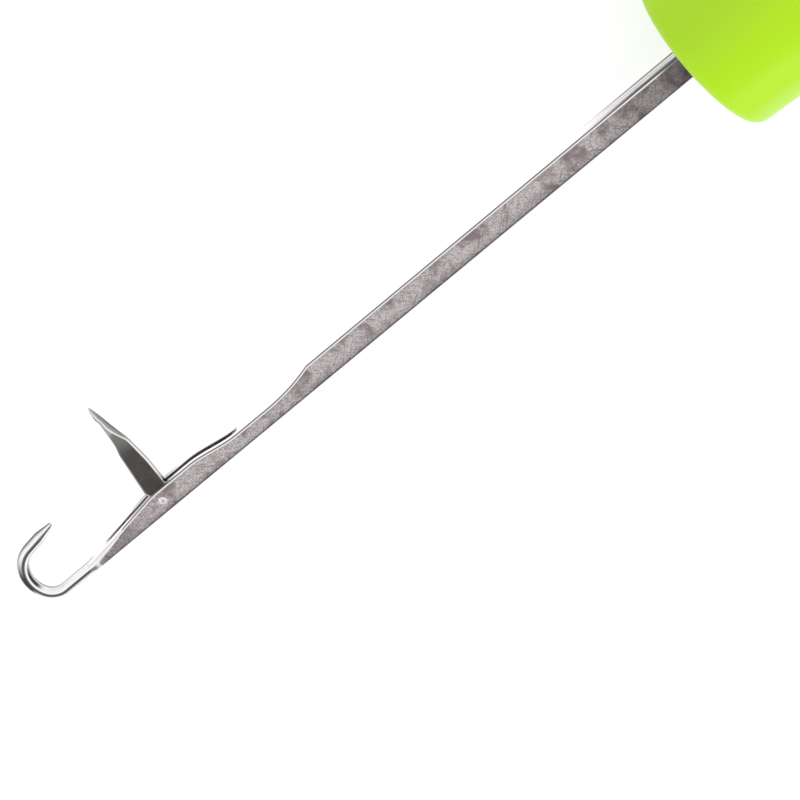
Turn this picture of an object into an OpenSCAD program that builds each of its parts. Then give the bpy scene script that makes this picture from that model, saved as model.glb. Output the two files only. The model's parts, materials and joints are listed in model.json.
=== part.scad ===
// Latch hook for rug yarn: a steel needle with a pivoted latch, in a moulded handle.
// X runs along the tool from the butt of the handle to the hook, the throat of the hook
// faces -Y, and the flat sides of the needle face up and down in Z.

/* [Handle] */
// Length of the handle from its butt to its front face
handle_l = 80.5; // [60:0.5:120]
// Diameter of the grip at its thickest
grip_d = 19.4; // [19:0.1:22]
// Distance between the two flats of the grip, which keep the tool from rolling
flats_d = 18.4; // [17.8:0.1:18.8]
// Diameter of the handle at its front, behind the rounded edge
front_d = 17.3; // [15:0.1:18]
// Distance from the front face to the straight grip, over which the handle swells
front_swell_l = 32; // [20:0.5:38]
// Diameter of the handle at its butt, in front of the rounded edge
butt_d = 16.4; // [15:0.1:17.6]
// Distance from the butt face to the straight grip, over which the handle swells
butt_swell_l = 20; // [6:1:24]
// Radius of the rounded edge round the front face
front_edge_r = 1.2; // [0.4:0.1:2.5]
// Radius of the rounded edge round the butt
butt_edge_r = 1.6; // [0.4:0.1:1.8]
// Wall of the handle at its butt, round the core
butt_wall = 2; // [1.9:0.1:2.6]
// Wall between the front face and the core
front_wall = 5; // [3:0.5:10]
// Wall round the tang, in the core
socket_wall = 1.6; // [1:0.1:2.2]
// Thickness of the ribs between the tang's socket and the shell
rib_t = 1.2; // [0.8:0.1:2]
// Number of ribs round the tang's socket
rib_count = 4; // [3:1:8]
// Depth of the plug in the butt
plug_l = 6; // [4:0.5:10]
// Thickness of the plug's face
plug_face_t = 1.8; // [1:0.1:3]
// Wall of the plug's skirt
plug_wall = 1.2; // [0.8:0.1:2]
// Width of the bevel round the plug's face
plug_bevel = 0.4; // [0.2:0.1:0.8]
// Gap between the plug and the core it is pushed into
plug_gap = 0.05; // [0.02:0.01:0.1]

/* [Needle] */
// Distance from the front of the handle to the latch rivet
rivet_reach = 67.6; // [50:0.1:100]
// Distance from the latch rivet to the nose of the hook
hook_reach = 16.9; // [16:0.1:20]
// Height of the flat stem
stem_h = 2.5; // [2.3:0.1:3.2]
// Thickness of the flat stem
stem_t = 2; // [1.8:0.1:2.6]
// Radius of the rounded edges of the stem
stem_edge_r = 0.18; // [0.1:0.02:0.3]
// Length of the tang inside the handle
tang_l = 42; // [25:1:50]
// Bevel at the inner end of the tang
tang_bevel = 0.5; // [0.2:0.1:0.8]
// Gap between the tang and its socket
tang_gap = 0.02; // [0.01:0.01:0.1]
// Diameter of the hook's wire
wire_d = 1.25; // [1:0.05:1.4]
// Depth of the hook's lower leg below the rivet, to the middle of the wire
leg_drop = 0.95; // [0.8:0.05:1.1]
// Radius of the wire's first bend, under the nose
nose_r = 2; // [1.6:0.1:2.6]
// Angle of the first bend
nose_turn = 70; // [50:5:80]
// Radius of the wire's main bend
bend_r = 3.2; // [2.9:0.1:3.6]
// Angle at which the free leg rises towards its tip
tip_rise = 8; // [0:1:12]
// Distance from the rivet to the end of the tip, along the needle
tip_reach = 10; // [9:0.1:11]
// Length of the taper at the tip
tip_taper_l = 1.6; // [0.8:0.1:2.4]
// Diameter of the blunt end of the tip
tip_d = 0.6; // [0.4:0.05:0.8]
// Height of the cheeks' crown above the rivet
crown_h = 1.13; // [1:0.01:1.3]
// Length of the crown, from the rivet towards the handle
crown_l = 4.3; // [3:0.1:6]
// Length of the ramp from the crown down to the wire
cheek_ramp_l = 11; // [10:0.1:12]
// Angle at which the round wire flares out into the flat cheeks
flare_angle = 15.5; // [12:0.5:20]
// Length over which the needle's underside comes down to the wire
belly_l = 2.4; // [1.5:0.1:3]
// Length of the ramp between the crown and the waist
crown_ramp_l = 6; // [4:0.5:7]
// Height of the waist above the rivet, under the open latch's spoon
waist_h = 0.44; // [0.3:0.01:0.7]
// Length of the waist
waist_l = 4; // [3:0.1:6]
// Length of the ramp between the waist and the stem
stem_ramp_l = 5.8; // [4:0.2:8]

/* [Latch] */
// Thickness of the latch's blade
latch_t = 0.65; // [0.5:0.05:0.8]
// Gap on each side of the blade in its slot
slot_gap = 0.04; // [0.02:0.01:0.1]
// Radius of the slot's end towards the hook
slot_front_r = 4; // [3:0.1:5]
// Length of the slot's floor from the rivet towards the hook
floor_front_l = 1.6; // [1:0.1:2]
// Length of the slot's flat floor from the rivet towards the handle
floor_back_l = 2.5; // [2:0.1:3.5]
// Width of the blade at its shoulders
latch_w = 2.5; // [2.2:0.1:2.8]
// Radius of the blade's round end about the rivet
eye_r = 0.85; // [0.75:0.05:0.9]
// Gap between the blade's round end and the floor of the slot
floor_gap = 0.1; // [0.05:0.01:0.2]
// Distance from the rivet to the blade's shoulders
shoulder_l = 1.7; // [1.4:0.1:2.2]
// How far the front edge of the blade draws in before the spoon
front_draw = 0.62; // [0.5:0.02:0.8]
// How far the back edge of the blade draws in where the spoon begins
back_draw = 0.1; // [0:0.05:0.3]
// Crown of the back edge between the shoulders and the spoon
back_crown = 0.07; // [0.02:0.01:0.15]
// Length of the spoon
spoon_l = 4.7; // [4:0.1:5.2]
// Width of the spoon
spoon_w = 1.25; // [1:0.05:1.4]
// Length over which the blade widens into the spoon
spoon_flare_l = 1.1; // [0.8:0.1:1.4]
// Length of the spoon's rounded tip
spoon_tip_l = 1.9; // [1.2:0.1:2.2]
// How far the rim of the cup stands in front of the latch's middle line
cup_rim = 0.1; // [0:0.05:0.25]
// How far the lip near the spoon's tip stands in front of the latch's middle line
cup_lip = 0.28; // [0.2:0.02:0.4]
// Wall of the spoon round its cup
cup_wall = 0.2; // [0.15:0.01:0.26]
// Thickness and width of the spoon's blunt end
spoon_end_t = 0.12; // [0.08:0.01:0.16]
// How far the spoon reaches past the tip of the hook
spoon_cover = 0.5; // [0.3:0.1:1]
// Angle at which the latch leans towards the handle
latch_lean = 8; // [0:1:20]
// Diameter of the rivet
rivet_d = 0.8; // [0.6:0.05:0.9]
// Radial gap between the rivet and the latch's eye
rivet_gap = 0.04; // [0.02:0.01:0.08]
// Radial gap between the rivet and the bores in the cheeks
seat_gap = 0.01; // [0.01:0.01:0.03]
// Diameter of the rivet's peened ends
peen_d = 1; // [0.9:0.05:1.3]
// Depth of the countersinks that the peened ends fill
peen_h = 0.16; // [0.1:0.02:0.24]

/* [Hidden] */
$fn = 64;
// Length and swell of the fine collars where two stretches of the bent wire meet
collar_l = 0.2;
collar_swell = 0.01;
// How far inside a collar each stretch stops
collar_stop = collar_l / 4;
// Steps of a rounded edge and of a curved run in an outline
edge_steps = 8;
run_steps = 10;
// Room for a cut to pass beyond a face
over = 1;

grip_r = grip_d / 2;
front_r = front_d / 2;
butt_r = butt_d / 2;
core_r = butt_r - butt_wall;
socket_r = norm([stem_h, stem_t]) / 2 + socket_wall;
// Inner end of the tang, and the place of the rivet, on the tool's axis
tang_x = handle_l - tang_l;
rivet_x = handle_l + rivet_reach;

// The sizes below are about the rivet, with the hook at +x and the throat at +y
stem_side = stem_h / 2;
wire_r = wire_d / 2;
nose_end = nose_turn - 90;
bend_end = 90 - tip_rise;
bend_c = [hook_reach - wire_r - bend_r, nose_r - leg_drop + (nose_r - bend_r) * sin(nose_end)];
nose_c = [bend_c.x - (nose_r - bend_r) * cos(nose_end), nose_r - leg_drop];
free_start = bend_c + bend_r * [cos(bend_end), sin(bend_end)];
free_way = [-sin(bend_end), cos(bend_end)];
free_l = (tip_reach + tip_d / 2 - free_start.x) / free_way.x;
tip_c = free_start + free_l * free_way;
flare_l = (norm([stem_t / 2, crown_h + leg_drop]) - wire_r) / tan(flare_angle);
waist_x = -crown_l - crown_ramp_l;
stem_x = waist_x - waist_l - stem_ramp_l;

slot_w = latch_t + 2 * slot_gap;
floor_y = -eye_r - floor_gap;
// Radius of the slot's long end, which comes out at the start of the waist
slot_back_r = (pow(waist_x + floor_back_l, 2) + pow(waist_h - floor_y, 2)) / (2 * (waist_h - floor_y));
latch_l = norm(tip_c) + spoon_cover;
neck_l = latch_l - spoon_l;
back_h = latch_w / 2 - back_draw;
// Length over which the spoon opens to its full width, a third of it before the neck
spoon_open_l = 1.5 * spoon_flare_l;

// Eased step from a to b as t goes from 0 to 1
function ease(a, b, t) = a + (b - a) * (1 - cos(180 * t)) / 2;
// Points of an eased run from p to q
function run(p, q) =
    [for (i = [0:run_steps]) [p.x + (q.x - p.x) * i / run_steps, ease(p.y, q.y, i / run_steps)]];
// Points of a ramp that leaves p level and grows steeper up to q
function ramp(p, q) =
    [for (i = [0:run_steps])
        [p.x + (q.x - p.x) * i / run_steps, p.y + (q.y - p.y) * pow(i / run_steps, 2)]];
// Points of a swell from p, steep at first, that levels out at q
function swell(p, q) =
    [for (i = [0:run_steps])
        [p.x + (q.x - p.x) * i / run_steps, p.y + (q.y - p.y) * sin(90 * i / run_steps)]];
// Points of an arc of radius r about c, from angle a to angle b
function arc(c, r, a, b) =
    [for (i = [0:edge_steps])
        c + r * [cos(a + (b - a) * i / edge_steps), sin(a + (b - a) * i / edge_steps)]];
// The same points from last to first
function back_to_front(points) = [for (i = [len(points) - 1:-1:0]) points[i]];

// Turns a profile of [place on the tool's axis, radius] about that axis
module turned(points) {
    rotate([90, 0, 90]) rotate_extrude($fn = 96) polygon([for (p = points) [p.y, p.x]]);
}

// Places a shape that is drawn about the rivet
module at_rivet() {
    translate([rivet_x, 0, 0]) mirror([0, 1, 0]) children();
}

// Outer shape of the handle: a turned body with a flat above and a flat below
module handle_body() {
    intersection() {
        turned(concat(
            [[0, 0]],
            arc([butt_edge_r, butt_r - butt_edge_r], butt_edge_r, 180, 90),
            swell([butt_edge_r, butt_r], [butt_swell_l, grip_r]),
            back_to_front(swell([handle_l - front_edge_r, front_r], [handle_l - front_swell_l, grip_r])),
            arc([handle_l - front_edge_r, front_r - front_edge_r], front_edge_r, 90, 0),
            [[handle_l, 0]]
        ));
        translate([-over, -grip_d, -flats_d / 2]) cube([handle_l + 2 * over, 2 * grip_d, flats_d]);
    }
}

module handle() {
    core_end = handle_l - front_wall;
    socket_end = tang_x - socket_wall;
    color("#9fd318")
        difference() {
            union() {
                difference() {
                    handle_body();
                    turned([[-over, 0], [-over, core_r], [core_end, core_r], [core_end, 0]]);
                }
                translate([socket_end, 0, 0])
                    rotate([0, 90, 0]) cylinder(h = handle_l - socket_end - front_wall / 2, r = socket_r);
                for (i = [0:rib_count - 1])
                    rotate([360 / rib_count * (i + 0.5), 0, 0])
                        translate([socket_end, 0, -rib_t / 2])
                            cube([core_end - socket_end + over, core_r + over, rib_t]);
            }
            translate([tang_x - tang_gap, -stem_side - tang_gap, -stem_t / 2 - tang_gap])
                cube([tang_l + over, stem_h + 2 * tang_gap, stem_t + 2 * tang_gap]);
        }
}

module end_plug() {
    plug_r = core_r - plug_gap;
    color("#8fc414")
        turned([
            [0, 0], [0, plug_r - plug_bevel], [plug_bevel, plug_r], [plug_l, plug_r],
            [plug_l, plug_r - plug_wall], [plug_face_t, plug_r - plug_wall], [plug_face_t, 0]
        ]);
}

// Side view of the needle from the wire to the tang
module needle_side() {
    tang_end = -rivet_reach - tang_l;
    // Clear of the wire at the end of the flare, so that the cone alone shapes it there
    flare_end_h = wire_r + 2 * collar_swell;
    polygon(concat(
        [[tang_end, -stem_side + tang_bevel], [tang_end + tang_bevel, -stem_side]],
        run([cheek_ramp_l - belly_l, -stem_side], [cheek_ramp_l, -leg_drop - flare_end_h]),
        [[cheek_ramp_l + over, -leg_drop - flare_end_h], [cheek_ramp_l + over, -leg_drop + flare_end_h]],
        back_to_front(run([0, crown_h], [cheek_ramp_l, -leg_drop + flare_end_h])),
        back_to_front(run([waist_x, waist_h], [-crown_l, crown_h])),
        ramp([stem_x + stem_ramp_l, waist_h], [stem_x, stem_side]),
        [[tang_end + tang_bevel, stem_side], [tang_end, stem_side - tang_bevel]]
    ));
}

// What the flat needle keeps: a bar with rounded edges, the open cheeks and the round flare
module needle_envelope() {
    bar_l = rivet_reach + tang_l + stem_x;
    corner = [stem_t / 2 - stem_edge_r, stem_side - stem_edge_r];
    flare_start_r = wire_r + flare_l * tan(flare_angle);
    flare_end_r = wire_r - over * tan(flare_angle);
    translate([stem_x - bar_l - over, 0, 0])
        rotate([90, 0, 90])
            linear_extrude(bar_l + over) {
                square([2 * corner.x, stem_h], center = true);
                square([stem_t, 2 * corner.y], center = true);
                for (sx = [-1, 1], sy = [-1, 1])
                    translate([sx * corner.x, sy * corner.y]) circle(r = stem_edge_r);
            }
    translate([stem_x, -stem_h, -stem_t / 2])
        cube([cheek_ramp_l - flare_l - stem_x, 2 * stem_h, stem_t]);
    intersection() {
        translate([cheek_ramp_l - flare_l, -leg_drop, 0])
            rotate([0, 90, 0]) cylinder(h = flare_l + over, r1 = flare_start_r, r2 = flare_end_r);
        translate([0, -stem_h, -stem_t / 2]) cube([cheek_ramp_l + over, 2 * stem_h, stem_t]);
    }
}

// A straight stretch of wire from p, which stops inside the collars at its ends
module wire_run(p, angle, l) {
    translate(p) rotate([0, 90, angle]) translate([0, 0, -collar_stop]) cylinder(h = l, r = wire_r);
}

// A bend of the wire about c, from angle a to angle b, which stops inside the collars at its ends
module wire_bend(c, r, a, b) {
    stop = collar_stop / r * 180 / PI;
    translate(c)
        rotate(a + stop)
            rotate_extrude(angle = b - a - 2 * stop) translate([r, 0]) circle(r = wire_r);
}

// The collar at p, between two stretches
module wire_collar(p, angle) {
    translate(p) rotate([0, 90, angle]) cylinder(h = collar_l, r = wire_r + collar_swell, center = true);
}

module hook_wire() {
    leg_start = [cheek_ramp_l, -leg_drop];
    nose_start = [nose_c.x, -leg_drop];
    wire_run(leg_start, 0, nose_start.x - leg_start.x);
    wire_collar(nose_start, 0);
    wire_bend(nose_c, nose_r, -90, nose_end);
    wire_collar(nose_c + nose_r * [cos(nose_end), sin(nose_end)], nose_end + 90);
    wire_bend(bend_c, bend_r, nose_end, bend_end);
    wire_collar(free_start, bend_end + 90);
    translate(free_start)
        rotate([0, 90, bend_end + 90])
            rotate_extrude()
                polygon(concat(
                    [[0, collar_stop], [wire_r, collar_stop], [wire_r, free_l - tip_taper_l]],
                    arc([0, free_l], tip_d / 2, 0, 90)
                ));
}

module latch_slot() {
    top = 2 * crown_h;
    translate([0, 0, -slot_w / 2])
        linear_extrude(slot_w) {
            translate([-floor_back_l, floor_y]) square([floor_back_l + floor_front_l, top - floor_y]);
            intersection() {
                translate([floor_front_l, floor_y + slot_front_r]) circle(r = slot_front_r);
                translate([0, floor_y]) square([2 * slot_front_r, top - floor_y]);
            }
            intersection() {
                translate([-floor_back_l, floor_y + slot_back_r]) circle(r = slot_back_r, $fn = 180);
                translate([-slot_back_r, floor_y]) square([slot_back_r, top - floor_y]);
            }
        }
}

// The rivet, grown all round by a gap where it cuts its own seat
module rivet_shape(gap = 0, beyond = 0) {
    cylinder(h = stem_t + 2 * beyond, r = rivet_d / 2 + gap, center = true);
    for (side = [0, 1])
        mirror([0, 0, side])
            translate([0, 0, stem_t / 2 - peen_h])
                cylinder(h = peen_h, r1 = rivet_d / 2 + gap, r2 = peen_d / 2 + gap);
}

module needle() {
    color("#a79d9b")
        at_rivet()
            difference() {
                union() {
                    intersection() {
                        translate([0, 0, -stem_t / 2]) linear_extrude(stem_t) needle_side();
                        needle_envelope();
                    }
                    hook_wire();
                }
                latch_slot();
                rivet_shape(seat_gap, over);
            }
}

// Side view of the latch: its length along x, its back at +y, the hook's side at -y
module latch_side() {
    circle(r = eye_r);
    polygon(concat(
        [[0, -eye_r], [shoulder_l, -latch_w / 2]],
        swell([neck_l - spoon_flare_l, -latch_w / 2 + front_draw], [neck_l + spoon_open_l, -cup_rim]),
        run([latch_l - spoon_tip_l, -cup_rim], [latch_l - spoon_tip_l / 2, -cup_lip]),
        [[latch_l, -cup_rim - spoon_end_t], [latch_l, -cup_rim], [neck_l, back_h]],
        [[(neck_l + shoulder_l) / 2, latch_w / 2 + back_crown], [shoulder_l, latch_w / 2], [0, eye_r]]
    ));
}

// Half of a leaf's width along the latch: it opens over open_l from half-width a to b, and ends round
module leaf(start, end, open_l, close_l, a, b) {
    side = concat(
        run([start, a], [start + open_l, b]),
        [for (i = [0:edge_steps], t = 90 * i / edge_steps)
            [end - close_l * (1 - sin(t)), max(b * cos(t), spoon_end_t / 2)]]
    );
    rotate([-90, 0, 0])
        linear_extrude(2 * latch_w, center = true)
            polygon(concat(side, back_to_front([for (p = side) [p.x, -p.y]])));
}

// A channel along the spoon's straight back, rounded there and open to the hook's side
module channel(r, depth) {
    section = arc([-depth - r, 0], r, -90, 90);
    translate([neck_l, back_h, 0])
        rotate(atan2(-cup_rim - back_h, spoon_l))
            rotate([90, 0, 90])
                linear_extrude(2 * spoon_l, center = true)
                    polygon(concat(section, [[-2 * latch_w, r], [-2 * latch_w, -r]]));
}

module latch() {
    cup_start = neck_l + spoon_flare_l / 2;
    color("#6b6664")
        at_rivet()
            rotate(90 + latch_lean)
                difference() {
                    union() {
                        intersection() {
                            linear_extrude(latch_t, center = true) latch_side();
                            translate([-latch_w, -latch_w, -latch_t])
                                cube([latch_w + neck_l, 2 * latch_w, 2 * latch_t]);
                        }
                        intersection() {
                            linear_extrude(spoon_w, center = true) latch_side();
                            leaf(neck_l - spoon_open_l / 3, latch_l, spoon_open_l, spoon_tip_l,
                                 latch_t / 2, spoon_w / 2);
                            channel(spoon_w / 2, 0);
                        }
                    }
                    intersection() {
                        leaf(cup_start, latch_l - cup_wall, spoon_flare_l, spoon_tip_l - cup_wall,
                             spoon_end_t / 2, spoon_w / 2 - cup_wall);
                        channel(spoon_w / 2 - cup_wall, cup_wall);
                    }
                    cylinder(h = 2 * spoon_w, r = rivet_d / 2 + rivet_gap, center = true);
                }
}

module latch_rivet() {
    color("#c9c2bf") at_rivet() rivet_shape();
}

handle();
end_plug();
needle();
latch();
latch_rivet();
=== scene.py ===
import json

import bmesh
import bpy
import numpy as np
from mathutils import Matrix, Vector


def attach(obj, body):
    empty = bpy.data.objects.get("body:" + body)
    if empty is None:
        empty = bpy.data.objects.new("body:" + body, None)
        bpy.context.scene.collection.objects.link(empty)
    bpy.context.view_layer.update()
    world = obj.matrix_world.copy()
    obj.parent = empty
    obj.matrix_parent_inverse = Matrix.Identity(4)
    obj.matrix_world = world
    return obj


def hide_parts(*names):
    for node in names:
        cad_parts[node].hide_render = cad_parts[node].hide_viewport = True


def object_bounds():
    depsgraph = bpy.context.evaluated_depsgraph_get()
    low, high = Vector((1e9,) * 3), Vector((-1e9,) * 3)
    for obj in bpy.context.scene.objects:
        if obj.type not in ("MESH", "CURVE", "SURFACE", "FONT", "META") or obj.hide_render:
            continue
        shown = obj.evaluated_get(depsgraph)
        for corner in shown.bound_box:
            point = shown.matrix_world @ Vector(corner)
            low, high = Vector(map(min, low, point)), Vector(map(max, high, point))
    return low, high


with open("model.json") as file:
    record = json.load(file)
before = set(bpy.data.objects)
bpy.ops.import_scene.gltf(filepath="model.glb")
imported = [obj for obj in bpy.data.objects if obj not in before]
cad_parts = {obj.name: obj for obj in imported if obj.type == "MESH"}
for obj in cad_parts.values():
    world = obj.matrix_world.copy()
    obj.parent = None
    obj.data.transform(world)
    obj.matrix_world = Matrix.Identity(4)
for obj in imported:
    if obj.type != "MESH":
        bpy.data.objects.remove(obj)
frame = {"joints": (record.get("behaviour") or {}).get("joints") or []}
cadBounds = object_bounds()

mm = 0.001
mergeReach = 0.0008  # points nearer than this become one, in millimetres
rivetPlace = np.array(frame["joints"][0]["pos_m"]) / mm
print("frame loaded, rivet at", rivetPlace, "mm")


# Eased step from a to b as t goes from 0 to 1
def ease(a, b, t):
    return a + (b - a) * (1 - np.cos(np.pi * np.clip(t, 0, 1))) / 2


# Eased rise from 0 to 1, and fall from 1 to 0, that begins at start and takes length
def fadeIn(x, start, length):
    return ease(0, 1, (x - start) / length)


def fadeOut(x, start, length):
    return ease(1, 0, (x - start) / length)


# Quarter-sine step from a to b, steep at first and level at the end
def swell(a, b, t):
    return a + (b - a) * np.sin(np.pi / 2 * np.clip(t, 0, 1))


# Smaller of two values, with the corner between them rounded over about the width of soft
def softMin(a, b, soft):
    return (a + b - np.sqrt((a - b) ** 2 + soft**2)) / 2


# Straight runs through the given points, averaged at nine places in a short window, so that
# corners are round
def smoothRun(at, xs, ys, window):
    offsets = np.linspace(-window / 2, window / 2, 9)
    return np.mean([np.interp(at + offset, xs, ys) for offset in offsets], 0)


# Unit vectors at angles in degrees
def unit(degrees):
    t = np.radians(degrees)
    return np.stack([np.cos(t), np.sin(t)], -1)


# Unit vectors evenly all round a circle
def circle(count):
    return unit(np.linspace(0, 360, count, endpoint=False))


# Points of an arc of radius r about a centre, from angle a to angle b in degrees
def arcPoints(centre, r, a, b, count):
    return np.asarray(centre) + r * unit(np.linspace(a, b, count))


# From places about the rivet, with the throat at +y, to metres in the frame
def fromRivet(points):
    return (rivetPlace + points * np.array([1, -1, 1])) * mm


# Puts rings of points, as an array of station by point by xyz in metres, into one closed mesh.
# Neighbouring rings are joined by quads, and points that fall together become one, which
# closes the ends where a ring shrinks. The sign of the volume turns the faces outwards.
# Wear and painted shade are values for each point that the materials read, by the name of the
# attribute.
def ringMesh(name, rings, wearAndShade=None):
    stations, around = rings.shape[:2]
    i, j = np.meshgrid(np.arange(stations - 1), np.arange(around), indexing="ij")
    k = (j + 1) % around
    here, there = i * around, (i + 1) * around
    quads = np.stack([here + j, here + k, there + k, there + j], -1).reshape(-1, 4)
    flat = rings.reshape(-1, 3)
    corners = flat[quads] - flat.mean(0)
    a, b, c, d = (corners[:, n] for n in range(4))
    volume = np.einsum("ij,ij->", a, np.cross(b, c)) + np.einsum("ij,ij->", a, np.cross(c, d))
    if volume < 0:
        quads = quads[:, ::-1]
    mesh = bpy.data.meshes.new(name)
    mesh.from_pydata(flat.tolist(), [], quads.tolist())
    for kind, values in (wearAndShade or {}).items():
        wearAndShadeAttribute = mesh.attributes.new(kind, "FLOAT", "POINT")
        wearAndShadeAttribute.data.foreach_set("value", values.astype(np.float32).ravel())
    work = bmesh.new()
    work.from_mesh(mesh)
    bmesh.ops.remove_doubles(work, verts=work.verts, dist=mergeReach * mm)
    work.to_mesh(mesh)
    work.free()
    mesh.shade_smooth()
    piece = bpy.data.objects.new(name, mesh)
    bpy.context.scene.collection.objects.link(piece)
    return piece


# The whole ring from one half of a section: the half, then its mirror image in z back again.
# A value for each point of the half is carried round in the same way.
def wholeRing(half):
    mirror = np.array([1, -1]) if half.ndim == 3 else 1
    return np.concatenate([half, half[:, -2:0:-1] * mirror], 1)


# Lays out the runs of a half section one after another. Each run is its two coordinates, then
# how polished it is and how much painted shade it carries, as numbers or as one for each of its
# points.
def layOut(runs, stations):
    points, polish, shadeAndDirt = [], [], []
    for run in runs:
        first, second, bright, shadeAndDirtValue = (np.atleast_1d(np.asarray(part, float)) for part in run)
        shape = (stations, max(first.shape[-1], second.shape[-1]))
        first, second = np.broadcast_to(first, shape), np.broadcast_to(second, shape)
        points.append(np.stack([first, second], -1))
        polish.append(np.broadcast_to(bright, shape))
        shadeAndDirt.append(np.broadcast_to(shadeAndDirtValue, shape))
    return np.concatenate(points, 1), np.concatenate(polish, 1), np.concatenate(shadeAndDirt, 1)


needle = {
    "stemHeight": 2.5, "stemThickness": 2.0, "topEdge": 0.24, "bottomEdge": 0.18, "tangEnd": -109.6,
    "crownHeight": 1.13, "crownLength": 4.3, "crownRamp": 6.0,
    "waistHeight": 0.44, "waistLength": 4.0, "stemRamp": 5.8,
    "cheekRamp": 11.0, "rampFrom": 0.4, "rampRound": 1.6, "bellyLength": 2.4,
    # the flare from the round wire to the flat sides: places along the needle, and radii there.
    # What lies deeper in it than flareReach is left as it is.
    "flareAt": (0, 3.5, 5, 6, 7, 8, 9.3, 10.2, 11),
    "flareRadius": (6, 2.4, 1.6, 1.36, 1.2, 1.09, 1.0, 0.8, 0.625),
    "flareRound": 0.8, "flareEdge": 0.04, "flareReach": 1, "wireFrom": 10.2, "wireOver": 0.9,
    "slotWidth": 0.73, "slotEdge": 0.07, "slotFloor": -0.95,
    "floorFront": 1.6, "floorBack": 2.5, "slotFrontRadius": 21,
    "wireRadius": 0.625, "legDrop": 0.95, "noseRadius": 2.0, "noseTurn": 70, "bendRadius": 3.2,
    "hookReach": 16.896, "tipRise": 8, "tipReach": 10.0, "tipTaper": 1.6, "tipRadius": 0.3,
    # rings of points along the straight part: from, to and how many
    "ringRuns": ((-109.2, -68, 30), (-67.5, -21, 70), (-20.7, -11, 70), (-10.9, 5.3, 150),
                 (5.4, 11.6, 70)),
}

# The needle's painted shade, painted shadow and painted dark reflection lines, from 0 to 1, and
# some of its polish. A pair is where it begins to rise or fall, and over
# what length: millimetres along the needle, radii across the wire, or degrees round the bend.
needleShadeAndWear = {
    # a painted shadow where the needle enters the handle, painted shade along the stem near it, on
    # the flat sides towards the cheek's front, on the top face by the latch's foot and in the slot
    "paintedShade": 0.75, "handleShadow": 0.75, "handleShadowEnd": (-65.1, 2.0), "stem": 0.66, "stemShadeEnd": (-62, 9),
    "front": 0.6, "frontShadeStart": (1.5, 4), "footShade": 0.65, "footShadeMiddle": 0.5, "footShadeEnd": (1.5, 3),
    "slot": 0.85, "slotShadeFull": 0.9, "rimDepth": 0.1, "stemTopShade": 0.4,
    "under": 0.12, "underPolish": 0.2, "rubDepth": 0.03, "rubbedOff": 0.7,
    # painted dark reflection lines along the wire: at its inner and outer side, on its two faces,
    # and painted shade all over its outside
    "edgeEnd": (0.1, 0.3), "face": 0.8, "faceShift": 0.05, "faceEnd": (0.16, 0.16),
    "outside": 0.85, "outsideEnd": (0.5, 0.2), "wireStart": (9.4, 0.8),
    # painted dark reflections in the bend: how far round it reaches, and the angles round the wire
    # that it leaves bright
    "bend": 0.95, "bendOver": 20, "bendEnd": (20, 50),
    "bendLine": 38, "lineEnd": (16, 8), "backStart": (86, 8),
}


# Height of the needle's upper outline: stem, ramp, waist, ramp, crown and the long ramp to the wire
def needleTop(x):
    n = needle
    stem, crown, waist = n["stemHeight"] / 2, n["crownHeight"], n["waistHeight"]
    waistFront = -n["crownLength"] - n["crownRamp"]
    waistBack = waistFront - n["waistLength"]
    back = waist + (stem - waist) * np.clip((waistBack - x) / n["stemRamp"], 0, 1) ** 2
    middle = ease(waist, crown, (x - waistFront) / n["crownRamp"])
    ramp = [n["rampFrom"], n["cheekRamp"] - n["rampRound"] / 2]
    front = smoothRun(x, ramp, [crown, n["wireRadius"] - n["legDrop"]], n["rampRound"])
    return np.where(x < waistFront, back, np.where(x < 0, middle, front))


# Height of its lower outline: straight, then down to the underside of the wire
def needleBottom(x):
    start = needle["cheekRamp"] - needle["bellyLength"]
    wireBottom = -needle["legDrop"] - needle["wireRadius"]
    return ease(-needle["stemHeight"] / 2, wireBottom, (x - start) / needle["bellyLength"])


# Height of the slot's floor: flat under the latch's eye, and an arc up to the surface at each end
def slotFloor(x):
    n = needle
    waistFront = -n["crownLength"] - n["crownRamp"]
    rise = n["waistHeight"] - n["slotFloor"]
    backRadius = ((waistFront + n["floorBack"]) ** 2 + rise**2) / (2 * rise)
    front = np.clip(x - n["floorFront"], 0, n["slotFrontRadius"])
    back = np.clip(-n["floorBack"] - x, 0, backRadius)
    frontArc = n["slotFrontRadius"] - np.sqrt(n["slotFrontRadius"] ** 2 - front**2)
    return n["slotFloor"] + frontArc + backRadius - np.sqrt(backRadius**2 - back**2)
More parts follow.
